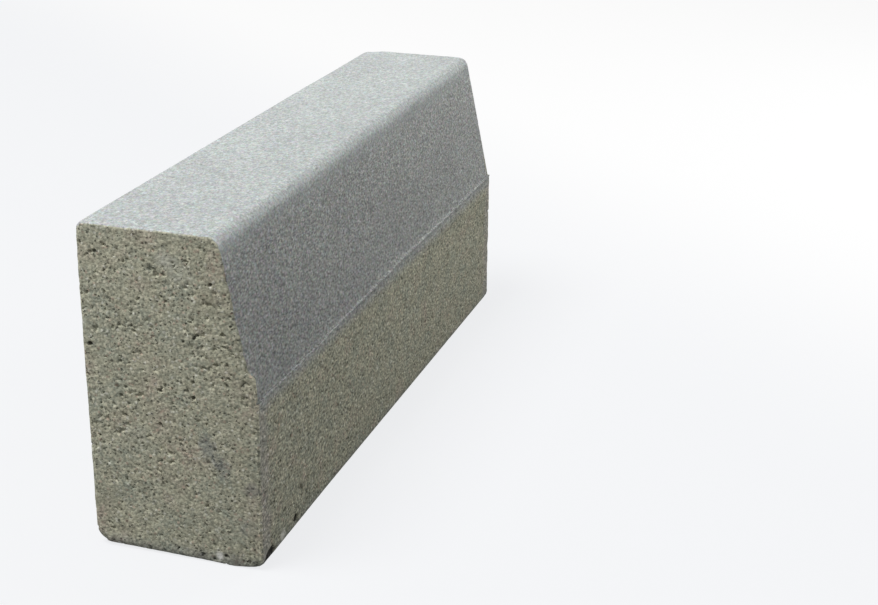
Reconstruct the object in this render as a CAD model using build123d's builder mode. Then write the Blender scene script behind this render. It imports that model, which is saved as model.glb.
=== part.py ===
from build123d import *
import os

# A cast concrete kerb stone: one solid, standing on its base, in millimetres.
# +X runs along the kerb, -Y is the road side, +Y is the back, +Z is up.
# The origin is the middle of the base.

# Driving dimensions
length = 660
base_width = 150
upright_height = 150  # plumb part of the road face, from the base up
batter_height = 130  # leaning part of the road face, from there to the top
batter_setback = 30  # from the plumb face back to the top of the batter
ledge_width = 1.5  # narrow step where the batter springs from the plumb face

# Worn and moulded arrises, as radii
top_road_radius = 11  # between the top and the batter
top_back_radius = 6
foot_road_radius = 10
foot_back_radius = 16
end_foot_radius = 5  # where each end meets the base
end_top_radius = 2  # where each end meets the top
end_road_radius = 3  # plumb arris between an end and the road face
end_back_radius = 4  # plumb arris between an end and the back

height = upright_height + batter_height
road_face = -base_width / 2
back_face = base_width / 2
top_road_edge = road_face + batter_setback

with BuildPart() as kerb_stone:
    # Cross-section, seen along the kerb: x is across the kerb and y is up
    with BuildSketch(Plane.YZ) as section:
        with BuildLine():
            Polyline(
                (road_face, 0),
                (back_face, 0),
                (back_face, height),
                (top_road_edge, height),
                (road_face + ledge_width, upright_height),
                (road_face, upright_height),
                close=True,
            )
        make_face()
        arrises = [
            ((top_road_edge, height), top_road_radius),
            ((back_face, height), top_back_radius),
            ((road_face, 0), foot_road_radius),
            ((back_face, 0), foot_back_radius),
        ]
        for corner, radius in arrises:
            fillet(section.vertices().sort_by_distance(corner)[0], radius)
    extrude(amount=length / 2, both=True)

    # Plan outline: it rounds the plumb arrises of both ends
    with BuildSketch() as plan:
        Rectangle(length, base_width)
        fillet(plan.vertices().group_by(Axis.Y)[0], end_road_radius)
        fillet(plan.vertices().group_by(Axis.Y)[-1], end_back_radius)
    extrude(amount=height, mode=Mode.INTERSECT)

    # Outline seen from the road: it rounds where both ends meet the base and the top
    with BuildSketch(Plane.XZ) as elevation:
        Rectangle(length, height, align=(Align.CENTER, Align.MIN))
        fillet(elevation.vertices().group_by(Axis.Y)[0], end_foot_radius)
        fillet(elevation.vertices().group_by(Axis.Y)[-1], end_top_radius)
    extrude(amount=base_width, both=True, mode=Mode.INTERSECT)

kerb_stone.part.label = "kerb_stone"

os.makedirs("parts", exist_ok=True)
export_step(kerb_stone.part, "parts/kerb_stone.step")
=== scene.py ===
import math
from functools import partial
import bpy
import numpy as np
from mathutils import Matrix, Vector


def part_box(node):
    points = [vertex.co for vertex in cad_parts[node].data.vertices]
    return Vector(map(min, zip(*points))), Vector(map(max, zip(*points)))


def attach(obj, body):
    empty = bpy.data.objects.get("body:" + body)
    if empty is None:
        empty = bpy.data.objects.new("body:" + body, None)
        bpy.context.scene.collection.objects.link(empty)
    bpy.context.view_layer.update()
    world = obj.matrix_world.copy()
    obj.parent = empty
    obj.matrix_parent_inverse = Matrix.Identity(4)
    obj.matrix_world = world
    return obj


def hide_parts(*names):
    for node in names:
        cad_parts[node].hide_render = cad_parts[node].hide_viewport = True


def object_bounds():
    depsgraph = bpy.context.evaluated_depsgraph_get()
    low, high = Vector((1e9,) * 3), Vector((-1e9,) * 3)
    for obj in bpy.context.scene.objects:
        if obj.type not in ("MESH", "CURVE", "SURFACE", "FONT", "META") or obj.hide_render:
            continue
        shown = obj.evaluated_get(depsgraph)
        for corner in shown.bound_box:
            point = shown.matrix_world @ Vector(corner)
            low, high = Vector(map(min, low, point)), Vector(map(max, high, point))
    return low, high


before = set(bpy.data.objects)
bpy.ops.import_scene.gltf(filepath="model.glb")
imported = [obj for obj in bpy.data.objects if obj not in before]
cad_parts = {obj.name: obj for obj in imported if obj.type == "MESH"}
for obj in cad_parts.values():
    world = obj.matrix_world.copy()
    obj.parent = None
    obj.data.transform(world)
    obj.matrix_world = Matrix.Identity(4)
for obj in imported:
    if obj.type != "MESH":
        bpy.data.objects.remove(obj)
cadLow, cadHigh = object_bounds()
print("kerb: frame loaded")

mm = 0.001  # the kerb's dictionaries are in millimetres, Blender works in metres
hair = 0.01  # mm, tells a point above the break from one on it
kerbLow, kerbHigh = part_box("kerb_stone")
kerbLength = (kerbHigh.x - kerbLow.x) / mm
kerbHeight = (kerbHigh.z - kerbLow.z) / mm
roadFace = kerbLow.y / mm
backFace = kerbHigh.y / mm
endFace = kerbHigh.x / mm


# Random numbers and noise, all from a hash of the place, so every run gives the same kerb

def latticeRandom(cell, channel):
    # A number from 0 to 1 for each lattice cell: its three indices and a channel number,
    # multiplied by odd numbers, joined by exclusive or, and scrambled by shifts
    ix, iy, iz = (cell[:, axis].astype(np.uint32) for axis in range(3))
    mixed = ix * np.uint32(73856093) ^ iy * np.uint32(19349663) ^ iz * np.uint32(83492791)
    mixed ^= np.uint32((channel * 2654435761) % 2**32)
    mixed = (mixed ^ (mixed >> np.uint32(16))) * np.uint32(2246822519)
    mixed = (mixed ^ (mixed >> np.uint32(13))) * np.uint32(3266489917)
    return (mixed ^ (mixed >> np.uint32(16))) / 2.0**32


def softNoise(points, size, channel):
    # Value noise from -1 to 1: random numbers at the corners of a lattice of this size,
    # blended between the corners by a cubic weight. Each channel is a noise of its own.
    scaledDown = points / size
    low = np.floor(scaledDown).astype(np.int64)
    part = scaledDown - low
    weight = part * part * (3 - 2 * part)
    total = np.zeros(len(points))
    for corner in range(8):
        step = np.array([corner & 1, corner >> 1 & 1, corner >> 2])
        share = np.prod(np.where(step == 1, weight, 1 - weight), axis=1)
        total += share * latticeRandom(low + step, channel)
    return 2 * total - 1


def smoothStep(low, high, value):
    # From 0 to 1 by a cubic curve while the value goes from low to high
    part = np.clip((value - low) / (high - low), 0, 1)
    return part * part * (3 - 2 * part)


# The kerb's section: the CAD solid's, with the ledge, the break and the arrises as the photo has them

kerbSection = {
    "breakHeight": 147.5,  # where the road face stops being plumb
    "breakDrift": ((-330, -1.0), (-180, -0.8), (-60, 1.4), (60, 2.0), (330, 1.0)),  # along, up
    "breakWander": 0.8,
    "driftReach": 6,  # above and below the break, the drift fades out over this
    "batterSetback": 30,
    "ledgeWidth": 2.3,  # step that the pressing plate leaves at the foot of the batter
    "lipRadius": 1.0,  # its worn outer edge
    "topRoadRadius": 11,
    "topBackRadius": 6.5,
    "footRoadRadius": 10.5,
    "footBackRadius": 16,
    "endFootRadii": (  # arris between an end and the base: across, radius
        (-73, 16), (-69, 8), (-61, 4.5), (-52, 2.2), (-46, 1.8), (-30, 3.8), (57, 8),
    ),
    "endTopRadius": 2,
    "endPlumbRadius": 2.2,
    "endBackRadius": 3,
    "endBatterRadius": 1.5,
    "nearFootSwell": 0.8,  # the road side's foot is fuller towards the near end
    "swellFrom": -180,  # along the kerb
    "swellOver": 120,
    "farBackWear": 1.4,  # the arris between the top and the back is worn towards the far end
    "farWearStretch": (140, 230),
    "gridPitch": 1.0,
    "lengthPitch": 1.5,
    "columns": 132,  # grid columns across the top, the base and each end
    "arcSteps": 12,
    "lipSteps": 4,
    "ledgeSteps": 3,
    "easeSteps": 5,  # steps between the last even station and the start of an end's arris
    "endSteps": 5,  # steps round each end's arris
}


def arc(centreY, centreZ, radius, startAngle, endAngle, steps):
    # Points on a circle from one angle to another, as rows of y, z and the outward normal
    angle = np.radians(np.linspace(startAngle, endAngle, steps + 1))
    normalY, normalZ = np.cos(angle), np.sin(angle)
    return np.stack([centreY + radius * normalY, centreZ + radius * normalZ, normalY, normalZ], 1)


def straight(startY, startZ, endY, endZ, steps):
    # Equal steps along a line, with the normal on its left-hand side, which is outward up the road face
    share = np.linspace(0, 1, steps + 1)[:, None]
    start, end = np.array([startY, startZ]), np.array([endY, endZ])
    along = (end - start) / np.linalg.norm(end - start)
    normal = np.array([-along[1], along[0]])
    return np.hstack([start + (end - start) * share, np.tile(normal, (steps + 1, 1))])


def roadSide():
    # From the flat of the base round the foot, up the plumb face, over the lip,
    # up the batter and round onto the flat of the top
    s = kerbSection
    footRadius, topRadius, steps = s["footRoadRadius"], s["topRoadRadius"], s["arcSteps"]
    lip = s["lipRadius"]
    batterFoot = np.array([roadFace + s["ledgeWidth"], s["breakHeight"]])
    batterHead = np.array([roadFace + s["batterSetback"], kerbHeight])
    along = (batterHead - batterFoot) / np.linalg.norm(batterHead - batterFoot)
    leanAngle = 180 - math.degrees(math.atan2(along[0], along[1]))
    tangent = topRadius * math.tan(math.radians(leanAngle - 90) / 2)
    arcStart = batterHead - along * tangent
    plumbSteps = round((s["breakHeight"] - lip - footRadius) / s["gridPitch"])
    batterSteps = round((arcStart[1] - s["breakHeight"]) / s["gridPitch"])
    foot = arc(roadFace + footRadius, footRadius, footRadius, -90, -180, steps)
    plumb = straight(roadFace, footRadius, roadFace, s["breakHeight"] - lip, plumbSteps)
    worn = arc(roadFace + lip, s["breakHeight"] - lip, lip, 180, 90, s["lipSteps"])
    ledge = straight(roadFace + lip, s["breakHeight"], *batterFoot, s["ledgeSteps"])
    batter = straight(*batterFoot, *arcStart, batterSteps)
    head = arc(batterHead[0] + tangent, kerbHeight - topRadius, topRadius, leanAngle, 90, steps)
    return np.vstack([foot, plumb[1:], worn[1:], ledge[1:], batter[1:], head[1:]])


def backSide(steps):
    # The back face from the base to the top, in as many steps as the road side
    s = kerbSection
    footRadius, topRadius, arcSteps = s["footBackRadius"], s["topBackRadius"], s["arcSteps"]
    foot = arc(backFace - footRadius, footRadius, footRadius, -90, 0, arcSteps)
    head = arc(backFace - topRadius, kerbHeight - topRadius, topRadius, 0, 90, arcSteps)
    plumb = straight(backFace, footRadius, backFace, kerbHeight - topRadius, steps - 2 * arcSteps)
    plumb[:, 2:] *= -1
    return np.vstack([foot, plumb[1:], head[1:]])


def sectionLoop():
    # The whole outline as one closed loop: base, road side, top, then down the back.
    # The second result is the number of steps up each side.
    road = roadSide()
    back = backSide(len(road) - 1)
    share = np.linspace(0, 1, kerbSection["columns"] + 1)[:, None]
    base = back[0] + (road[0] - back[0]) * share
    top = road[-1] + (back[-1] - road[-1]) * share
    return np.vstack([base[:-1], road[:-1], top[:-1], back[::-1][:-1]]), len(road) - 1


# Wear on the arrises round the two ends

endWear = {
    "everywhere": 0.2,
    "uneven": 0.2,  # more or less of it, from place to place
    "sideChips": 1.6,
    "topChips": 0.5,
    "topBand": 3,  # the top's chips reach this far down
    "chipLimit": 0.3,  # where the noise is above this, the arris is chipped
    "reach": 2.5,  # the wear fades out over this from the end
    "nearReach": 3,  # and the near end's own wear, below, over this
    "spalls": ((243, 4, 0.9), (214, 6, 1.6), (187, 4, 1.1)),  # on the batter: up, half height, depth
    "lugDepth": 2,  # just above the break a lug stands out over the batter
    "lugLean": 0.17,  # by this much more for each mm up, so that its face stays nearly plumb
    "lugFoot": (147.5, 151),
    "lugHead": (173, 166),
    "lugReach": (4.5, 1),  # from the end
    "backLosses": ((170, 110, 1.3), (90, 60, 0.5), (36, 22, 1.0), (264, 276, 1.4)),  # from, to, depth
    "backFuller": (250, 12, 0.5),  # up, half height, how much less is lost there
    "farCornerLoss": 2.2,  # the far end's top corner at the back
    "farCornerAcross": (48, 68),
    "farCornerUp": (255, 272),
    "farCornerReach": 8,
    "noiseShift": 40,  # sets the near end's noise apart from the far end's
    "zone": 20,  # only points this near to an end are looked at
}


def endArrisLoss(y, z, normalY, fromEnd, nearEnd):
    # How far an end's arris has worn back across the section, in mm: a little everywhere,
    # more where the noise is high, and fading with the distance from the end
    w = endWear
    place = np.stack([fromEnd + nearEnd * w["noiseShift"], y, z], 1)
    loss = w["everywhere"] + w["uneven"] * softNoise(place, size=5, channel=31)
    chips = np.where(z > kerbHeight - w["topBand"], w["topChips"], w["sideChips"])
    loss += chips * np.maximum(softNoise(place, size=13, channel=32) - w["chipLimit"], 0)
    loss *= np.exp(-fromEnd / w["reach"])
    if nearEnd:
        onBatter = (z > kerbSection["breakHeight"]) & (normalY < -0.5)
        spall = sum(depth * np.exp(-((z - up) / half) ** 2) for up, half, depth in w["spalls"])
        spall *= np.exp(-fromEnd / w["nearReach"])
        lug = w["lugDepth"] + (z - kerbSection["breakHeight"]) * w["lugLean"]
        lug *= smoothStep(*w["lugFoot"], z) * smoothStep(*w["lugHead"], z)
        lug *= smoothStep(*w["lugReach"], fromEnd)
        loss += np.where(onBatter, spall - lug, 0)
        back = sum(depth * smoothStep(first, last, z) for first, last, depth in w["backLosses"])
        up, half, less = w["backFuller"]
        back -= less * np.exp(-((z - up) / half) ** 2)
        loss += np.where(normalY > 0.5, back * np.exp(-fromEnd / w["nearReach"]), 0)
    else:
        corner = smoothStep(*w["farCornerAcross"], y) * smoothStep(*w["farCornerUp"], z)
        loss += w["farCornerLoss"] * corner * np.exp(-fromEnd / w["farCornerReach"])
    return loss


def arrisShare(first, second):
    # 0 on two faces and 1 half way round the arris between them: four times the product of the
    # squares of the outward direction's two parts
    return 4 * np.maximum(first, 0) ** 2 * np.maximum(second, 0) ** 2


def endRadii(y, z, normalY, normalZ):
    # The radius with which each point of the section turns onto the ends
    s = kerbSection
    onRoadBatter = (z > s["breakHeight"] + hair) & (normalY < 0)
    plumbRadius = np.where(normalY > 0, s["endBackRadius"], s["endPlumbRadius"])
    plumbRadius = np.where(onRoadBatter, s["endBatterRadius"], plumbRadius)
    radius = plumbRadius * normalY**2 + s["endTopRadius"] * np.maximum(normalZ, 0) ** 2
    acrossAt, footRadii = np.array(s["endFootRadii"]).T
    return radius + np.interp(y, acrossAt, footRadii) * np.maximum(-normalZ, 0) ** 2


def stationsAlong(radius):
    # Places along the kerb: even ones, and near each end a quarter circle, which every point of the
    # section follows by its own radius. The second result is how far each has turned.
    s = kerbSection
    margin = np.max(s["endFootRadii"], axis=0)[1] + 1
    inner = np.linspace(margin - endFace, endFace - margin, round(kerbLength / s["lengthPitch"]))
    ease = np.linspace(0, 1, s["easeSteps"] + 1)[1:-1]
    turn = np.radians(np.linspace(0, 90, s["endSteps"] + 1))
    rows, turns = [], []
    for side in (-1, 1):
        lead = [side * (endFace - margin + (margin - radius) * part) for part in ease]
        bend = [side * (endFace - radius * (1 - math.sin(t))) for t in turn]
        angles = [0.0] * len(ease) + list(turn)
        rows.append(lead + bend if side > 0 else (lead + bend)[::-1])
        turns.append(angles if side > 0 else angles[::-1])
    x = np.array(rows[0] + [np.full(len(radius), value) for value in inner] + rows[1])
    return x, np.array(turns[0] + [0.0] * len(inner) + turns[1])[:, None]


def wornInset(x, loop, radius, turnAngle):
    # How far the surface lies inside the section's outline
    s = kerbSection
    normalY, normalZ = loop[:, 2], loop[:, 3]
    inset = radius * (1 - np.cos(turnAngle))
    swell = s["nearFootSwell"] * arrisShare(-normalY, -normalZ)
    inset = inset - swell * np.clip((s["swellFrom"] - x) / s["swellOver"], 0, 1)
    worn = s["farBackWear"] * arrisShare(normalY, normalZ)
    inset = inset + worn * smoothStep(*s["farWearStretch"], x)
    fromEnd = endFace - np.abs(x)
    zone = endWear["zone"]
    for nearEnd, chosen in ((1, x[:, 0] < -endFace + zone), (0, x[:, 0] > endFace - zone)):
        wide = np.broadcast_to(loop, (int(chosen.sum()),) + loop.shape).reshape(-1, 4)
        loss = endArrisLoss(wide[:, 0], wide[:, 1], wide[:, 2], fromEnd[chosen].ravel(), nearEnd)
        inset[chosen] += loss.reshape(inset[chosen].shape)
    return inset


def breakShift(x, y, z):
    # The break between the two road faces isn't quite straight: it drifts along the kerb and wanders
    # a little. Points near it slide up or down in their own face, less with their distance from it.
    s = kerbSection
    along, up = np.array(s["breakDrift"]).T
    place = np.stack([x.ravel(), np.zeros(x.size), np.zeros(x.size)], 1)
    wander = softNoise(place, size=19, channel=35) + 0.5 * softNoise(place, size=7, channel=36)
    shift = np.interp(x, along, up) + s["breakWander"] * wander.reshape(x.shape)
    shift = shift * np.exp(-(((z - s["breakHeight"]) / s["driftReach"]) ** 2)) * (y < 0)
    inward = s["batterSetback"] / (kerbHeight - s["breakHeight"])
    return np.where(z > s["breakHeight"] + hair, shift * inward, 0), shift


def endFill(edge, rim, rise, used):
    # Closes one end by rows ruled between the back and the road side. Returns its grid of vertex
    # numbers and the new vertices, which count from used on.
    columns = kerbSection["columns"]
    grid = np.full((rise + 1, columns + 1), -1)
    grid[0, :] = edge[: columns + 1]
    grid[:, columns] = edge[columns : columns + rise + 1]
    grid[rise, ::-1] = edge[columns + rise : 2 * columns + rise + 1]
    grid[::-1, 0] = edge[np.r_[2 * columns + rise : 2 * (columns + rise), 0]]
    share = np.linspace(0, 1, columns + 1)[1:-1][None, :, None]
    left, right = rim[grid[1:-1, 0] - edge[0]], rim[grid[1:-1, columns] - edge[0]]
    fill = (left[:, None] * (1 - share) + right[:, None] * share).reshape(-1, 3)
    grid[1:-1, 1:-1] = used + np.arange(len(fill)).reshape(rise - 1, columns - 1)
    return grid, fill


def kerbGrid():
    # The section carried along the kerb and closed at both ends. Returns vertices, outward
    # directions, faces and a mark for the vertices on the ends.
    loop, rise = sectionLoop()
    y, z, normalY, normalZ = loop.T
    radius = endRadii(y, z, normalY, normalZ)
    x, turnAngle = stationsAlong(radius)
    inset = wornInset(x, loop, radius, turnAngle)
    shiftIn, shiftUp = breakShift(x, y, z)
    skin = np.stack([x, y - normalY * inset + shiftIn, z - normalZ * inset + shiftUp], -1)
    away = np.sin(turnAngle) * np.sign(x)
    across = np.cos(turnAngle) * np.ones_like(x)
    skinOut = np.stack([away, across * normalY, across * normalZ], -1)
    stations, around = x.shape
    index = np.arange(x.size).reshape(stations, around)
    follow = np.roll(index, -1, axis=1)
    quads = [np.stack([index[:-1], index[1:], follow[1:], follow[:-1]], -1).reshape(-1, 4)]
    vertices, outward, onEnd = [skin.reshape(-1, 3)], [skinOut.reshape(-1, 3)], [np.zeros(x.size)]
    onEnd[0][index[0]] = onEnd[0][index[-1]] = 1
    used = x.size
    for station, side in ((0, -1), (stations - 1, 1)):
        grid, fill = endFill(index[station], skin[station], rise, used)
        used += len(fill)
        vertices.append(fill)
        outward.append(np.tile([float(side), 0.0, 0.0], (len(fill), 1)))
        onEnd.append(np.ones(len(fill)))
        corners = [grid[:-1, :-1], grid[:-1, 1:], grid[1:, 1:], grid[1:, :-1]]
        quads.append(np.stack(corners if side < 0 else corners[::-1], -1).reshape(-1, 4))
    return np.vstack(vertices), np.vstack(outward), np.vstack(quads), np.hstack(onEnd)


# Relief: how far the real surface lies inside the moulded outline

kerbRelief = {
    "faceDepth": 4.5,  # the fine mix counts as facing this near to the top and the batter
    "waviness": 0.25,
    "waveVaries": 0.4,
    "pressedWave": 0.5,  # what is left of the waves on the pressed face
    "grain": 0.3,
    "firmFoot": 0.35,  # and of waves and grain at the foot, where the mould's corner was packed
    "firmUp": (2, 16),
    "openness": 0.72,  # how full of voids the coarse mix is
    "patchy": 0.5,
    "finePatchy": 0.25,
    "mostOpen": 1.2,
    "closedTop": (6, 26),  # the mix opens up between these distances below the top
    "closedFoot": 0.5,  # and on an end it closes up again by this share towards the foot
    "closedFootUp": (110, 50),
    "sideOpenness": 0.6,  # of the faces that lay against the mould
    "besideEnd": 15,  # on the road side, and still less this near to an end
    "besideEndOpenness": 0.35,
    "voidLayers": (  # lattice size, smallest and largest radius, share of cells with a void
        (9.5, 0.9, 1.9, 0.5),
        (5.6, 0.7, 1.4, 0.6),
    ),
    "voidSkew": 1.6,  # above 1, small voids are commoner than large ones
    "voidWarp": 0.7,
    "gapLimit": 0.9,
    "gapSpread": 0.36,
    "gapSoftness": 0.45,
    "gapDepth": 1.5,
    "deepest": 2.8,
    "flattening": 1.15,  # the pressed mix has wider voids than they are high
    "latticeTilt": (0.9, 0.5),  # radians about Y and Z
    "ragged": 0.35,
    "endVoids": (  # the largest voids on the end that shows: across, up, radius
        (59, 258, 2.0), (62.5, 257, 1.6), (68.5, 179, 2.6), (-18, 258, 1.7), (-38, 241, 2.1),
        (31, 199, 1.7), (28, 195, 1.6), (42, 168, 1.7), (-20, 158, 1.8), (-20, 145, 2.1),
        (0, 223, 1.6), (-41, 175, 1.7), (10, 118, 1.7), (43, 138, 1.8), (-50, 176, 1.6),
        (40, 4, 1.7), (25, 4, 1.9), (12, 4, 1.6), (-23, 6.5, 1.9), (-33, 4.5, 2.2),
        (-43, 8.5, 2.0), (-53, 5, 1.7),
    ),
    "endVoidReach": 2,  # in from the end
    "endVoidFlatness": 1.2,
    "endVoidDepth": 1.1,
    # how dark the listed voids are painted, as painted shade and dirt
    "endVoidShade": 1.6,
    "footChips": (  # broken spots low on the road face: along, up, radius
        (-317.5, 6.5, 4.8), (-309, 7, 6.0), (-257, 12, 4.2), (-245, 35, 2.8), (-308, 50, 2.2),
        (-320, 99, 1.8), (-264, 91, 2.2),
    ),
    "chipReach": 14,  # in from the road face
    "chipStretch": 0.85,
    "chipDepth": 0.75,  # against the radius
    "chipDeepest": 5,
    "chipWall": (1.05, 0.6),  # from the rim to the floor of a chip, against the radius
    "chipFoot": (2.5, 6),  # up from the base, so that the foot's edge stays whole
    # how dark the chips are painted, as painted shade and dirt
    "chipShade": 1.8,
    "mostTriangles": 196000,
    "sharpAngle": 50,  # degrees
}


def batterDepth(points):
    # Distance inside the plane of the batter
    s = kerbSection
    run, rise = s["batterSetback"], kerbHeight - s["breakHeight"]
    inward = (points[:, 1] - roadFace) * rise - (points[:, 2] - s["breakHeight"]) * run
    return inward / math.hypot(run, rise)


def turnedPlace(points, angle):
    # The points squeezed upright, as the press leaves wide low voids, and turned off the axes,
    # so that no row of a lattice lies along a face
    tiltY, tiltZ = kerbRelief["latticeTilt"]
    turn = Matrix.Rotation(angle, 3, "X") @ Matrix.Rotation(tiltY, 3, "Y") @ Matrix.Rotation(tiltZ, 3, "Z")
    return points * np.array([1, 1, kerbRelief["flattening"]]) @ np.array(turn).T


def openVoids(points, outward, layer, keep):
    # Air voids cut open by the surface. Each cell of a tilted lattice may hold one round void.
    # A vertex inside it sinks to the void's far wall: its height above the centre
    # plus the root of the radius squared less the sideways distance squared.
    size, smallest, largest, share = kerbRelief["voidLayers"][layer - 1]
    seed = layer * 11
    warp = np.stack([softNoise(points, size=2.6, channel=layer * 7 + axis) for axis in (1, 2, 3)], 1)
    place = turnedPlace(points, layer) + kerbRelief["voidWarp"] * warp
    facing = turnedPlace(outward, layer)
    facing /= np.linalg.norm(facing, axis=1)[:, None]
    cell = np.floor(place / size).astype(np.int64)
    radius = smallest + (largest - smallest) * latticeRandom(cell, seed + 1) ** kerbRelief["voidSkew"]
    room = size - 2 * radius
    centre = cell * size + radius[:, None]
    centre += room[:, None] * np.stack([latticeRandom(cell, seed + axis) for axis in (2, 3, 4)], 1)
    offset = place - centre
    height = np.sum(offset * facing, 1)
    sideways = np.sum(offset * offset, 1) - height**2
    inside = radius**2 - sideways
    present = latticeRandom(cell, seed + 5) < share * keep
    return np.where(present & (inside > height**2), height + np.sqrt(np.maximum(inside, 0)), 0)


def openGaps(points, density):
    # Gaps between grains that the press left open: two noises added up, and what rises above
    # a limit is open. The limit falls where the mix is more open.
    r = kerbRelief
    pressed = turnedPlace(points, 0.4)
    rough = softNoise(pressed, size=3.3, channel=71) + 0.8 * softNoise(pressed, size=2.0, channel=72)
    limit = r["gapLimit"] - r["gapSpread"] * density
    return r["gapDepth"] * smoothStep(limit, limit + r["gapSoftness"], rough)


def placedVoids(points, outward, up):
    # The voids and chips that have a place of their own: bowls with a ragged rim. Returns their
    # depth and how dark they are painted, as painted shade and dirt in the hollow.
    r = kerbRelief
    voids, voidShade = np.zeros(len(points)), np.zeros(len(points))
    nearEnd = points[:, 0] < -endFace + r["endVoidReach"]
    ragged = 1 + r["ragged"] * softNoise(points, size=2.4, channel=51)
    for across, height, radius in r["endVoids"]:
        away = np.hypot(points[:, 1] - across, (points[:, 2] - height) * r["endVoidFlatness"]) * ragged
        bowl = np.sqrt(np.maximum(radius**2 - away**2, 0)) * r["endVoidDepth"]
        bowl = np.where(nearEnd, bowl, 0)
        voids = np.maximum(voids, bowl)
        voidShade = np.maximum(voidShade, bowl * r["endVoidShade"])
    onRoad = (points[:, 1] < roadFace + r["chipReach"]) & (outward[:, 1] < -0.1)
    for along, height, radius in r["footChips"]:
        away = np.hypot((points[:, 0] - along) * r["chipStretch"], up - height) * ragged
        depth = min(radius * r["chipDepth"], r["chipDeepest"])
        bowl = np.where(onRoad, depth * smoothStep(*r["chipWall"], away / radius), 0)
        voids = np.maximum(voids, bowl * smoothStep(*r["chipFoot"], up))
        voidShade = np.maximum(voidShade, bowl * r["chipShade"] * smoothStep(0, 1, up))
    return voids, voidShade


def mixOpenness(points, outward, onEnd, up, fromEnd):
    # How open the coarse mix is, from 0 upwards
    r = kerbRelief
    density = r["openness"] + r["patchy"] * softNoise(points, size=30, channel=41)
    density += r["finePatchy"] * softNoise(points, size=12, channel=42)
    density *= smoothStep(*r["closedTop"], kerbHeight - up)
    density *= 1 - r["closedFoot"] * onEnd * smoothStep(*r["closedFootUp"], up)
    density *= np.where(onEnd > 0.5, 1.0, r["sideOpenness"])
    besideEnd = (outward[:, 1] < -0.5) & (fromEnd < r["besideEnd"])
    return density * np.where(besideEnd, r["besideEndOpenness"], 1.0)


def kerbReliefDepth(points, outward, onEnd):
    # Depth of the relief at each vertex, and how dark its void is painted, as painted shade and dirt, both
    # in mm
    r = kerbRelief
    up = points[:, 2] - kerbLow.z / mm
    fromEnd = endFace - np.abs(points[:, 0])
    isFaced = np.minimum(kerbHeight - up, batterDepth(points)) < r["faceDepth"]
    isFaced &= (fromEnd > 1) & (up > kerbSection["breakHeight"])
    coarse = np.where(isFaced, 0.0, 1.0)
    density = mixOpenness(points, outward, onEnd, up, fromEnd)
    keep = coarse * np.clip(density, 0, r["mostOpen"])
    voids, voidShade = placedVoids(points, outward, up)
    for layer in range(1, len(r["voidLayers"]) + 1):
        voids = np.maximum(voids, openVoids(points, outward, layer, keep))
    voids = np.maximum(voids, np.where(keep > 0.05, openGaps(points, density), 0))
    voidShade = np.maximum(voidShade, voids)
    voids = np.minimum(voids, r["deepest"] * (1 + 0.15 * softNoise(points, size=2.0, channel=52)))
    wave = 1 - r["waveVaries"] + r["waveVaries"] * softNoise(points, size=45, channel=61)
    wave *= r["waviness"] * np.where(isFaced, r["pressedWave"], 1.0)
    grain = 1 + 0.6 * softNoise(points, size=7, channel=62) + 0.4 * softNoise(points, size=3.1, channel=63)
    firm = r["firmFoot"] + (1 - r["firmFoot"]) * smoothStep(*r["firmUp"], up)
    return (wave + r["grain"] * grain * coarse) * firm + voids, voidShade


def makeKerb():
    points, outward, quads, onEnd = kerbGrid()
    depth, voids = kerbReliefDepth(points, outward, onEnd)
    placed = (points - outward * depth[:, None]) * mm
    mesh = bpy.data.meshes.new("kerbCasting")
    mesh.from_pydata(placed.tolist(), [], quads.tolist())
    # how dark each void is painted, as painted shade and dirt, goes to the material in this attribute
    mesh.attributes.new("voidDepth", "FLOAT", "POINT").data.foreach_set("value", voids.astype(np.float32))
    mesh.update()
    kerb = bpy.data.objects.new("kerb_casting", mesh)
    bpy.context.scene.collection.objects.link(kerb)
    print("kerb: grid of", len(points), "vertices")
    return kerb


def countTriangles(kerb):
    return sum(len(face.vertices) - 2 for face in kerb.data.polygons)


def thinFlatParts(kerb):
    # Takes vertices out where the surface is flat and keeps them in the voids and on the arrises
    thin = kerb.modifiers.new("thin flat parts", "DECIMATE")
    thin.ratio = kerbRelief["mostTriangles"] / countTriangles(kerb)
    bpy.context.view_layer.objects.active = kerb
    kerb.select_set(True)
    bpy.ops.object.modifier_apply(modifier=thin.name)
    kerb.data.shade_smooth()
    kerb.data.set_sharp_from_angle(angle=math.radians(kerbRelief["sharpAngle"]))
    print("kerb: thinned to", countTriangles(kerb), "triangles")


# Materials

def linearColour(hexText):
    # An sRGB hex colour as linear red, green, blue and alpha
    parts = [int(hexText[i : i + 2], 16) / 255 for i in (1, 3, 5)]
    return [c / 12.92 if c <= 0.04045 else ((c + 0.055) / 1.055) ** 2.4 for c in parts] + [1.0]


def addNode(tree, kind, settings=(), links=()):
    # A node with its settings and incoming links. A name in small letters is a property of the node,
    # any other name or a number is a socket, and a linked node stands for its first live output.
    node = tree.nodes.new("ShaderNode" + kind)
    settings = dict(settings)
    for name in [name for name in settings if str(name)[0].islower()]:
        setattr(node, name, settings.pop(name))
    live = {socket.name: socket for socket in reversed(node.inputs) if socket.enabled}
    for name, value in settings.items():
        (live[name] if name in live else node.inputs[name]).default_value = value
    for name, source in dict(links).items():
        if isinstance(source, bpy.types.Node):
            source = next(socket for socket in source.outputs if socket.enabled)
        tree.links.new(source, live[name] if name in live else node.inputs[name])
    return node


def fillRamp(node, tones, interpolation="LINEAR"):
    # Puts hex colours at their places on a colour ramp
    ramp = node.color_ramp
    ramp.interpolation = interpolation
    while len(ramp.elements) < len(tones):
        ramp.elements.new(1.0)
    for element, (position, tone) in zip(ramp.elements, tones):
        element.position = position
        element.color = linearColour(tone)


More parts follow.
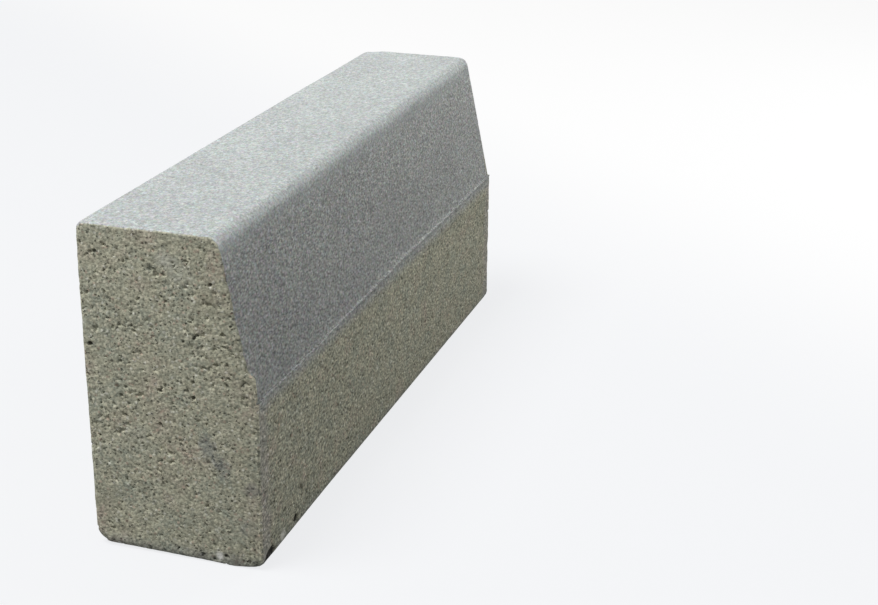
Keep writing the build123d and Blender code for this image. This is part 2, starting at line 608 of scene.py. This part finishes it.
def span(low, high, first=0.0, last=1.0):
    # Settings of a soft step: from first to last while the value goes from low to high
    ends = {"From Min": low, "From Max": high, "To Min": first, "To Max": last}
    return {"interpolation_type": "SMOOTHSTEP", **ends}


def slope(low, high, first=0.0, last=1.0):
    # The same with an even slope
    return {**span(low, high, first, last), "interpolation_type": "LINEAR"}


def contrast(first, last):
    # Settings that spread a noise, which lies nearly all between 0.3 and 0.7, from first to last
    return slope(0.3, 0.7, first, last)


def grains(size, detail=0.0, roughness=0.5):
    # Settings of a noise whose blobs are about this many millimetres apart
    return {"Scale": 1 / size, "Detail": detail, "Roughness": roughness}


def belowTop(drops):
    # Heights that lie this far below the top
    return [kerbHeight - drop for drop in drops]


def behindRoad(depths):
    # Places across the kerb that lie this far behind the road face
    return [roadFace + depth for depth in depths]


times = {"operation": "MULTIPLY"}
plus = {"operation": "ADD"}
minus = {"operation": "SUBTRACT"}
timesPlus = {"operation": "MULTIPLY_ADD"}
scaled = {"operation": "SCALE"}
mixColours = {"data_type": "RGBA"}

# Lengths in mm. Tones are factors on the colour, and pairs are where a soft step starts and ends.
concreteLook = {
    # where the fine mix lies
    "faceDepth": (5.2, 3.8),
    "bleed": 16.0,  # it thins out over this below the break
    "bleedTop": 4,
    "bleedRagged": 8.0,
    "faceMargin": (2.6, 2.0),  # it stops short of the ends, on the batter and on the top
    "marginDrops": (16, 8),
    "lugMargin": 3.0,  # and further short of them beside the lug
    "lugHeights": (174, 168),
    "edgeRagged": 2.0,
    "edgeSoftness": 0.3,
    # the fine face
    "facing": "#C8CECC",  # pale grey cement with white sand
    "facingShade": "#C2C7C6",
    "cloudSize": 60,
    "cloudEdge": (0.35, 0.65),
    "speckSize": 3.2,  # sand in the fine face, drawn a little coarser than it is so that it shows
    "speckTint": 0.08,
    "speckTone": (0.64, 1.36),
    "speckHeight": 0.2,
    "fleckSize": 1.5,  # and twice as long along the kerb, as the mould drew the mix out
    "fleckLength": 0.45,
    "fleckTone": (0.58, 1.42),
    "topCalm": 0.7,  # the top has less of the flecks, by this share
    "pinholeSpacing": 4.0,
    "pinholeEdge": (0.12, 0.24),  # against the spacing
    "pinholeTone": 0.72,
    # painted shade: the batter darker and a little warmer than the top
    "batterShadeTint": (0.905, 0.88, 0.865, 1.0),
    "batterDrops": (30, 4),  # between these drops the batter's look turns into the top's
    "batterFootShade": 0.8,  # painted shade: the batter is darker towards its foot
    "batterHeadDrop": 22,
    "rollLight": 1.25,  # painted light on the lower half of the arris between the top and the batter
    "rollRises": (14, 7.5),
    "rollEnds": (2.5, 6.5),
    "rollDepths": (55, 45),
    "batterFarLight": 1.17,  # painted light: the batter and the top are a little paler towards the far end
    "topFarLight": 1.03,
    "farStretch": (-250, 320),
    "skirtTone": 1.12,  # the fine mix below the break, against the foot of the batter
    "skirtDrops": (4, 1),
    "ledgeHighlight": 1.18,  # painted highlight on the ledge, which turns to painted shade beside the ends
    "ledgeEndShade": 0.84,
    "ledgeStarts": (0.7, 1.1),
    "ledgeStops": (3.0, 2.6),
    "ledgeFromEnd": (4, 40),
    "topBackTone": 1.04,  # the top is paler towards its back
    "topBackFrom": 45,
    "rimHighlight": 1.09,  # painted highlight on the fine face beside the ends
    "rimWidth": (1.5, 4.5),
    # the body
    "pasteTones": ((0.3, "#B7BDAC"), (0.45, "#C2C3AE"), (0.55, "#CBCAB2"), (0.7, "#C8BEAC")),
    "patchSize": 26.0,
    "sandTones": (
        (0.0, "#84877B"), (0.12, "#A2A798"), (0.25, "#BEBEA9"), (0.5, "#D0CDB5"), (0.72, "#DEDAC4"),
        (0.88, "#D0BDAA"), (0.93, "#F2F1E3"),
    ),
    "sandSize": 2.8,
    "sandEdge": (0.7, 0.35),  # against the size
    "sandShare": 0.7,
    "sandHeight": 0.2,
    "joltSize": 2.2,  # bends the grains and pores out of round
    "jolt": 1.8,
    "mottles": ((2.4, (0.66, 1.34)), (1.4, (0.92, 1.08))),  # size, tones
    "mottleHeight": 0.45,
    "crowdSize": 14,  # pores come in crowds
    "crowding": (0.12, -0.05),
    "poreSpacing": 4.2,
    "poreEdge": (0.3, 0.16),  # against the spacing
    "poreTone": 0.46,
    "poreHeight": -0.6,
    "leanAcross": 1.5,  # painted light: the body is paler upwards, and this much more so towards the back
    "leanLight": (0.89, 1.11),
    "footShade": (0.80, 0.825, 0.91),  # painted shade along the foot, where the kerb meets the floor
    "footShadeUp": (-5, 9),
    "footShadeRagged": -14.0,
    "browShade": 0.9,  # painted shade just under the fine mix of the top
    "browDrops": (7, 2),
    "deepestShade": 0.1,  # painted shade and dirt: what is left of the colour at the bottom of a void
    "voidDepths": (0.2, 4.0),
    # the road side of the body, and the marks
    "roadTone": 1.015,
    "roadDepths": (4, 2),
    "roadSideTone": 0.955,  # the body is a little darker towards the road
    "roadSideDepths": (36, 22),
    "arrisLight": 1.17,  # painted light on the arris between an end and the road face
    "arrisWidth": (4.5, 2),
    "stripTint": (0.955, 0.935, 1.04, 1.0),  # cooler strip beside the ends on the road face
    "stripStarts": (1, 5),
    "stripStops": (39, 23),
    "stripRagged": 26.0,
    "stripWave": 24,
    "marks": (  # stains and pale spots: place, radius, colour, strength
        ((-330, -31, 104), 8, "#959B9C", 0.45), ((-330, -43, 88), 9, "#858C90", 0.55),
        ((-330, -2, 256), 8, "#E2E2D4", 0.5), ((-330, -38, 7.5), 4, "#FFFFF8", 0.95),
        ((-330, -68, 72), 6, "#8F8A90", 0.4), ((-330, -64, 40), 10, "#A09A98", 0.2),
        ((-287, -75, 11), 5, "#FFFFF4", 0.8), ((-330, 58, 45), 14, "#9F9E8C", 0.4),
        ((-330, 34, 105), 12, "#E8E6D2", 0.25), ((-330, -14, 249), 10, "#E4E3D0", 0.3),
        ((-330, -34, 226), 10, "#9F9C86", 0.35), ((-330, -48, 3), 9, "#70706C", 0.4),
        ((-330, -22, 3), 8, "#70706C", 0.4),
    ),
    "markRagged": 2.0,  # against a mark's radius
    "markEdge": (2.4, 1.4),
    # all of it
    "wanderSize": 13,  # noise that makes the borders ragged
    "roughness": 0.9,
    "gloss": 0.25,
}


def toned(add, colour, settings, source):
    # The colour times a tone that follows a value by these settings
    tone = add("MapRange", settings, {"Value": source})
    return add("VectorMath", scaled, {0: colour, "Scale": tone})


def facingMask(add, axes, wander):
    # 1 where the fine mix lies: near the top or the batter, above the break or a little below it,
    # and short of the ends
    s, look = kerbSection, concreteLook
    run, rise = s["batterSetback"], kerbHeight - s["breakHeight"]
    slant = math.hypot(run, rise)
    across = add("Math", {**times, 1: rise / slant}, {0: axes["Y"]})
    lean = add("Math", {**timesPlus, 1: -run / slant}, {0: axes["Z"], 2: across})
    batterIn = add("Math", {**plus, 1: (s["breakHeight"] * run - roadFace * rise) / slant}, {0: lean})
    topIn = add("Math", {**minus, 0: kerbHeight}, {1: axes["Z"]})
    inside = add("Math", {"operation": "MINIMUM"}, {0: batterIn, 1: topIn})
    near = add("MapRange", span(*look["faceDepth"]), {"Value": inside})
    lifted = add("Math", {**timesPlus, 1: look["bleedRagged"]}, {0: wander, 2: axes["Z"]})
    foot = s["breakHeight"] + look["bleedTop"] - look["bleed"]
    above = add("MapRange", span(foot, foot + look["bleed"]), {"Value": lifted})
    margin = span(*belowTop(look["marginDrops"]), *look["faceMargin"])
    margin = add("MapRange", margin, {"Value": axes["Z"]})
    wider = add("MapRange", span(*look["lugHeights"], 0.0, look["lugMargin"]), {"Value": axes["Z"]})
    margin = add("Math", plus, {0: margin, 1: wider})
    ragged = add("Math", {**timesPlus, 1: look["edgeRagged"]}, {0: wander, 2: axes["fromEnd"]})
    past = add("Math", minus, {0: ragged, 1: margin})
    short = add("MapRange", span(-look["edgeSoftness"], look["edgeSoftness"]), {"Value": past})
    return add("Math", times, {0: add("Math", times, {0: near, 1: above}), 1: short})


def flecks(add, place):
    # Light and dark flecks on the faces that lie along the kerb
    look = concreteLook
    drawn = add("VectorMath", {**times, 1: (look["fleckLength"], 1, 1)}, {0: place})
    fleck = add("TexNoise", grains(look["fleckSize"], 1), {"Vector": drawn})
    return add("MapRange", contrast(*look["fleckTone"]), {"Value": fleck})


def fineFace(add, place, axes):
    # The pressed face: cement-rich and even, with sand that shows as a faint speckle
    look = concreteLook
    cloud = add("TexNoise", grains(look["cloudSize"], 3), {"Vector": place})
    cloud = add("MapRange", span(*look["cloudEdge"]), {"Value": cloud})
    tones = {"A": linearColour(look["facing"]), "B": linearColour(look["facingShade"])}
    base = add("Mix", {**mixColours, **tones}, {"Factor": cloud})
    sand = add("TexVoronoi", {"Scale": 1.6 / look["speckSize"]}, {"Vector": place})
    tint = {**mixColours, "Factor": look["speckTint"]}
    colour = add("Mix", tint, {"A": base, "B": sand.outputs["Color"]})
    speck = add("TexNoise", grains(look["speckSize"], 3, 0.85), {"Vector": place})
    colour = toned(add, colour, contrast(*look["speckTone"]), speck)
    pinholes = add("TexVoronoi", {"Scale": 1 / look["pinholeSpacing"]}, {"Vector": place})
    colour = toned(add, colour, span(*look["pinholeEdge"], look["pinholeTone"], 1.0), pinholes)
    onTop = add("MapRange", span(*belowTop(look["batterDrops"])), {"Value": axes["Z"]})
    calmer = add("Math", {**times, 1: look["topCalm"]}, {0: onTop})
    fleck = add("Mix", {"B": 1.0}, {"Factor": calmer, "A": flecks(add, place)})
    colour = add("VectorMath", scaled, {0: colour, "Scale": fleck})
    # painted shade: the batter darker than the top
    tint = {**mixColours, "A": look["batterShadeTint"], "B": (1, 1, 1, 1)}
    colour = add("VectorMath", times, {0: colour, 1: add("Mix", tint, {"Factor": onTop})})
    return tonedFace(add, axes, onTop, colour), add("Math", {**times, 1: look["speckHeight"]}, {0: speck})


def tonedFace(add, axes, onTop, colour):
    # Where the fine face is paler or darker, mostly as painted light and shade
    look = concreteLook
    brink = kerbSection["breakHeight"]
    # painted shade: the batter darker towards its foot
    foot = slope(brink, kerbHeight - look["batterHeadDrop"], look["batterFootShade"], 1.0)
    colour = toned(add, colour, foot, axes["Z"])
    # painted light on the lower half of the arris between the top and the batter
    rises = add("MapRange", span(*belowTop(look["rollRises"])), {"Value": axes["Z"]})
    ends = add("MapRange", span(*belowTop(look["rollEnds"])), {"Value": axes["Z"]})
    roll = span(*behindRoad(look["rollDepths"]), 0.0, look["rollLight"] - 1)
    roll = add("MapRange", roll, {"Value": axes["Y"]})
    roll = add("Math", times, {0: roll, 1: add("Math", times, {0: rises, 1: ends})})
    colour = add("VectorMath", scaled, {0: colour, "Scale": add("Math", {**plus, 1: 1.0}, {0: roll})})
    # painted light: the batter and the top paler towards the far end
    towardsFar = add("MapRange", slope(*look["farStretch"]), {"Value": axes["X"]})
    paler = slope(0, 1, look["batterFarLight"] - 1, look["topFarLight"] - 1)
    paler = add("MapRange", paler, {"Value": onTop})
    tone = add("Math", {**timesPlus, 2: 1.0}, {0: towardsFar, 1: paler})
    colour = add("VectorMath", scaled, {0: colour, "Scale": tone})
    firstDrop, lastDrop = look["skirtDrops"]
    skirt = span(brink - firstDrop, brink - lastDrop, look["skirtTone"], 1.0)
    colour = toned(add, colour, skirt, axes["Z"])
    # painted highlight on the ledge, and painted shade on it beside the ends
    setBack = add("Math", {**minus, 1: roadFace}, {0: axes["Y"]})
    starts = add("MapRange", span(*look["ledgeStarts"]), {"Value": setBack})
    stops = add("MapRange", span(*look["ledgeStops"]), {"Value": setBack})
    paler = span(*look["ledgeFromEnd"], look["ledgeEndShade"] - 1, look["ledgeHighlight"] - 1)
    paler = add("MapRange", paler, {"Value": axes["fromEnd"]})
    ledge = add("Math", times, {0: starts, 1: stops})
    tone = add("Math", {**timesPlus, 2: 1.0}, {0: ledge, 1: paler})
    colour = add("VectorMath", scaled, {0: colour, "Scale": tone})
    back = slope(roadFace + look["topBackFrom"], backFace, 1.0, look["topBackTone"])
    colour = toned(add, colour, back, axes["Y"])
    # painted highlight on the fine face beside the ends
    return toned(add, colour, span(*look["rimWidth"], look["rimHighlight"], 1.0), axes["fromEnd"])


def coarseBody(add, place, axes, wander):
    # The semi-dry body: sand grains in a thin olive-grey paste, with open pores between them
    look = concreteLook
    patches = add("TexNoise", grains(look["patchSize"], 4, 0.6), {"Vector": place})
    paste = add("ValToRGB", {}, {0: patches})
    fillRamp(paste, look["pasteTones"])
    jolt = add("TexNoise", grains(look["joltSize"], 1), {"Vector": place})
    jolt = add("VectorMath", {**scaled, "Scale": look["jolt"]}, {0: jolt.outputs["Color"]})
    uneven = add("VectorMath", plus, {0: place, 1: jolt})
    sand = add("TexVoronoi", {"Scale": 1 / look["sandSize"]}, {"Vector": uneven})
    pick = add("SeparateColor", {}, {0: sand.outputs["Color"]})
    grain = add("ValToRGB", {}, {0: pick.outputs["Red"]})
    fillRamp(grain, look["sandTones"], "CONSTANT")
    bare = add("MapRange", span(*look["sandEdge"], 0.0, look["sandShare"]), {"Value": sand})
    colour = add("Mix", mixColours, {"Factor": bare, "A": paste, "B": grain})
    mottles = []
    for size, tones in look["mottles"]:
        mottles.append(add("TexNoise", grains(size, 1), {"Vector": place}))
        colour = toned(add, colour, contrast(*tones), mottles[-1])
    crowd = add("TexNoise", grains(look["crowdSize"], 3), {"Vector": place})
    crowd = add("MapRange", contrast(*look["crowding"]), {"Value": crowd})
    dots = add("TexVoronoi", {"Scale": 1 / look["poreSpacing"]}, {"Vector": uneven})
    pore = add("MapRange", span(*look["poreEdge"]), {"Value": add("Math", plus, {0: dots, 1: crowd})})
    colour = toned(add, colour, slope(0, 1, 1.0, look["poreTone"]), pore)
    # painted light: the body paler upwards and towards the back, as if lit from above and behind
    across = look["leanAcross"]
    lean = add("VectorMath", {"operation": "DOT_PRODUCT", 1: (0, across, 1)}, {0: place})
    paler = slope(across * roadFace, kerbHeight + across * backFace, *look["leanLight"])
    colour = toned(add, colour, paler, lean.outputs["Value"])
    # painted shade along the foot, where the kerb meets the floor
    reach = add("Math", {**timesPlus, 1: look["footShadeRagged"]}, {0: wander, 2: axes["Z"]})
    footShade = add("MapRange", span(*look["footShadeUp"], 1.0, 0.0), {"Value": reach})
    footShaded = add("VectorMath", {**times, 1: look["footShade"]}, {0: colour})
    colour = add("Mix", mixColours, {"Factor": footShade, "A": colour, "B": footShaded})
    # painted shade just under the fine mix of the top
    colour = toned(add, colour, span(*belowTop(look["browDrops"]), 1.0, look["browShade"]), axes["Z"])
    rough = add("Math", {**times, 1: look["mottleHeight"]}, {0: mottles[0]})
    hump = add("Math", {**timesPlus, 1: look["sandHeight"]}, {0: bare, 2: rough})
    return colour, add("Math", {**timesPlus, 1: look["poreHeight"]}, {0: pore, 2: hump})


def markedBody(add, place, axes, wander, colour):
    # The cooler strip beside the ends on the road face, painted light on the arris there, and the marks
    look = concreteLook
    uneven = add("TexNoise", grains(look["stripWave"], 2), {"Vector": place})
    edge = add("Math", {**timesPlus, 1: look["stripRagged"]}, {0: uneven, 2: axes["fromEnd"]})
    stops = add("MapRange", span(*look["stripStops"]), {"Value": edge})
    starts = add("MapRange", span(*look["stripStarts"]), {"Value": axes["fromEnd"]})
    onRoad = add("MapRange", span(*behindRoad(look["roadDepths"])), {"Value": axes["Y"]})
    roadSide = span(*behindRoad(look["roadSideDepths"]), 1.0, look["roadSideTone"])
    colour = toned(add, colour, roadSide, axes["Y"])
    # painted light on the arris between an end and the road face
    arris = add("MapRange", span(*look["arrisWidth"], 1.0, look["arrisLight"]), {"Value": axes["fromEnd"]})
    arris = add("Math", times, {0: arris, 1: flecks(add, place)})
    arris = add("Mix", {"A": 1.0}, {"Factor": onRoad, "B": arris})
    colour = add("VectorMath", scaled, {0: colour, "Scale": arris})
    colour = toned(add, colour, slope(0, 1, 1.0, look["roadTone"]), onRoad)
    strip = add("Math", times, {0: add("Math", times, {0: stops, 1: starts}), 1: onRoad})
    tint = {**mixColours, "A": (1, 1, 1, 1), "B": look["stripTint"]}
    colour = add("VectorMath", times, {0: colour, 1: add("Mix", tint, {"Factor": strip})})
    outer, inner = look["markEdge"]
    for centre, radius, tone, strength in look["marks"]:
        away = add("VectorMath", {"operation": "DISTANCE", 1: centre}, {0: place})
        ragged = {**timesPlus, 1: look["markRagged"] * radius}
        ragged = add("Math", ragged, {0: wander, 2: away.outputs["Value"]})
        spot = add("MapRange", span(radius * outer, radius * inner, 0.0, strength), {"Value": ragged})
        tone = {**mixColours, "B": linearColour(tone)}
        colour = add("Mix", tone, {"Factor": spot, "A": colour})
    return colour


def pressedConcrete():
    # Vibro-pressed concrete, dry and matt: a fine pale grey face on the top and batter, and an open,
    # sandy, olive-grey body elsewhere
    look = concreteLook
    material = bpy.data.materials.new("pressed concrete, fine face on a sandy body")
    material.use_nodes = True
    tree = material.node_tree
    add = partial(addNode, tree)
    shader = tree.nodes["Principled BSDF"]
    coordinates = add("TexCoord")
    place = add("VectorMath", {**scaled, "Scale": 1 / mm}, {0: coordinates.outputs["Object"]})
    parts = add("SeparateXYZ", {}, {0: place})
    axes = {name: parts.outputs[name] for name in "XYZ"}
    along = add("Math", {"operation": "ABSOLUTE"}, {0: axes["X"]})
    axes["fromEnd"] = add("Math", {**minus, 0: endFace}, {1: along})
    wander = add("TexNoise", grains(look["wanderSize"], 3), {"Vector": place})
    mask = facingMask(add, axes, wander)
    faceColour, faceHeight = fineFace(add, place, axes)
    bodyColour, bodyHeight = coarseBody(add, place, axes, wander)
    bodyColour = markedBody(add, place, axes, wander, bodyColour)
    depth = add("Attribute", {"attribute_name": "voidDepth"})
    colour = add("Mix", mixColours, {"Factor": mask, "A": bodyColour, "B": faceColour})
    # painted shade and dirt darken the voids and chips
    colour = toned(add, colour, slope(*look["voidDepths"], 1.0, look["deepestShade"]), depth.outputs["Fac"])
    height = add("Mix", {}, {"Factor": mask, "A": bodyHeight, "B": faceHeight})
    bump = add("Bump", {"Distance": mm}, {"Height": height})
    tree.links.new(bump.outputs[0], shader.inputs["Normal"])
    tree.links.new(colour.outputs[0], shader.inputs["Base Color"])
    shader.inputs["Roughness"].default_value = look["roughness"]
    shader.inputs["Specular IOR Level"].default_value = look["gloss"]
    return material


kerb = makeKerb()
thinFlatParts(kerb)
kerb.data.materials.append(pressedConcrete())
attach(kerb, "root")
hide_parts("kerb_stone")
print("kerb: concrete made")

# Floor, light and camera

stageLook = {
    "floorSize": 16.0,  # m
    "floorSeen": "#F6F7F9",
    "floorPalest": "#FFFFFF",  # painted light: what the floor fades to, beyond the kerb on the road side
    "palerTowards": (0.778, -0.628, 0),
    "palerFrom": 0.28,  # m that way from the kerb's middle
    "palestFrom": 0.90,
    "floorBounce": 0.25,  # what the floor gives back to the kerb
    "shadowShare": 0.14,  # how much of the seen floor's brightness comes from the lamps
    "skySeen": "#FAFAFB",
    "skyStrength": 0.28,
    "lampAim": (0, 0, 0.14),
    "lamps": (  # name, power in watts, width in m, place
        ("soft key", 244.0, 3.0, (-1.7, 1.7, 5.6)),
        ("far side fill", 7.8, 0.9, (1.5, -1.1, 0.9)),
    ),
}


def seenRays(add):
    # 1 for what the camera sees, straight or in gloss, and 0 for the light that a surface gives others
    path = add("LightPath").outputs
    seen = add("Math", {"operation": "MAXIMUM"}, {0: path["Is Camera Ray"], 1: path["Is Glossy Ray"]})
    return add("Math", {"operation": "MAXIMUM"}, {0: seen, 1: path["Is Transmission Ray"]})


def mattFloor():
    # Matt white board under soft light: even and pale, with painted light that makes it whiter towards one
    # side, and a faint shadow
    material = bpy.data.materials.new("matt studio floor")
    material.use_nodes = True
    material.node_tree.nodes.clear()
    add = partial(addNode, material.node_tree)
    place = add("TexCoord").outputs["Object"]
    along = add("VectorMath", {"operation": "DOT_PRODUCT", 1: stageLook["palerTowards"]}, {0: place})
    # painted light: the seen floor whiter towards one side
    paler = span(stageLook["palerFrom"], stageLook["palestFrom"])
    paler = add("MapRange", paler, {"Value": along.outputs["Value"]})
    tones = {"A": linearColour(stageLook["floorSeen"]), "B": linearColour(stageLook["floorPalest"])}
    seenColour = add("Mix", {**mixColours, **tones}, {"Factor": paler})
    bounce = add("BsdfDiffuse", {"Color": [stageLook["floorBounce"]] * 3 + [1.0]})
    lit = add("BsdfDiffuse", {}, {"Color": seenColour})
    glow = add("Emission", {}, {"Color": seenColour})
    shown = add("MixShader", {"Fac": stageLook["shadowShare"]}, {1: glow, 2: lit})
    mixed = add("MixShader", {}, {0: seenRays(add), 1: bounce, 2: shown})
    add("OutputMaterial", {}, {"Surface": mixed})
    return material


def makeFloor():
    half = stageLook["floorSize"] / 2
    mesh = bpy.data.meshes.new("floor")
    corners = [(-half, -half), (half, -half), (half, half), (-half, half)]
    mesh.from_pydata([(x, y, cadLow.z) for x, y in corners], [], [(0, 1, 2, 3)])
    mesh.materials.append(mattFloor())
    floor = bpy.data.objects.new("floor", mesh)
    bpy.context.scene.collection.objects.link(floor)


def makeSky():
    world = bpy.data.worlds.new("studio")
    bpy.context.scene.world = world
    world.use_nodes = True
    world.node_tree.nodes.clear()
    add = partial(addNode, world.node_tree)
    light = add("Background", {"Color": (1, 1, 1, 1), "Strength": stageLook["skyStrength"]})
    backdrop = add("Background", {"Color": linearColour(stageLook["skySeen"])})
    mixed = add("MixShader", {}, {0: seenRays(add), 1: light, 2: backdrop})
    add("OutputWorld", {}, {"Surface": mixed})


def makeLamp(name, power, width, place):
    lamp = bpy.data.lights.new(name, "AREA")
    lamp.shape = "DISK"
    lamp.size = width
    lamp.energy = power
    holder = bpy.data.objects.new(name, lamp)
    holder.location = place
    toKerb = Vector(stageLook["lampAim"]) - Vector(place)
    holder.rotation_euler = toKerb.to_track_quat("-Z", "Y").to_euler()
    bpy.context.scene.collection.objects.link(holder)


cameraPlace = {
    "place": (-1.4143, -0.5560, 0.6809),  # m
    "heading": 17.189,  # degrees from the kerb's length towards its back
    "pitch": 20.797,  # degrees down
    "roll": 0.68,
    "lens": 68.49,  # mm
    "frameWidth": 36,  # mm
}


def makeCamera():
    data = bpy.data.cameras.new("camera")
    data.lens = cameraPlace["lens"]
    data.sensor_width = cameraPlace["frameWidth"]
    data.sensor_fit = "HORIZONTAL"
    camera = bpy.data.objects.new("camera", data)
    turn = Matrix.Rotation(math.radians(cameraPlace["heading"] - 90), 3, "Z")
    tip = Matrix.Rotation(math.radians(90 - cameraPlace["pitch"]), 3, "X")
    roll = Matrix.Rotation(math.radians(cameraPlace["roll"]), 3, "Z")
    camera.rotation_euler = (turn @ tip @ roll).to_euler()
    camera.location = cameraPlace["place"]
    bpy.context.scene.collection.objects.link(camera)
    bpy.context.scene.camera = camera


makeFloor()
makeSky()
for lampSettings in stageLook["lamps"]:
    makeLamp(*lampSettings)
makeCamera()
bpy.context.scene.view_settings.view_transform = "Standard"
print("kerb: floor, light and camera set")
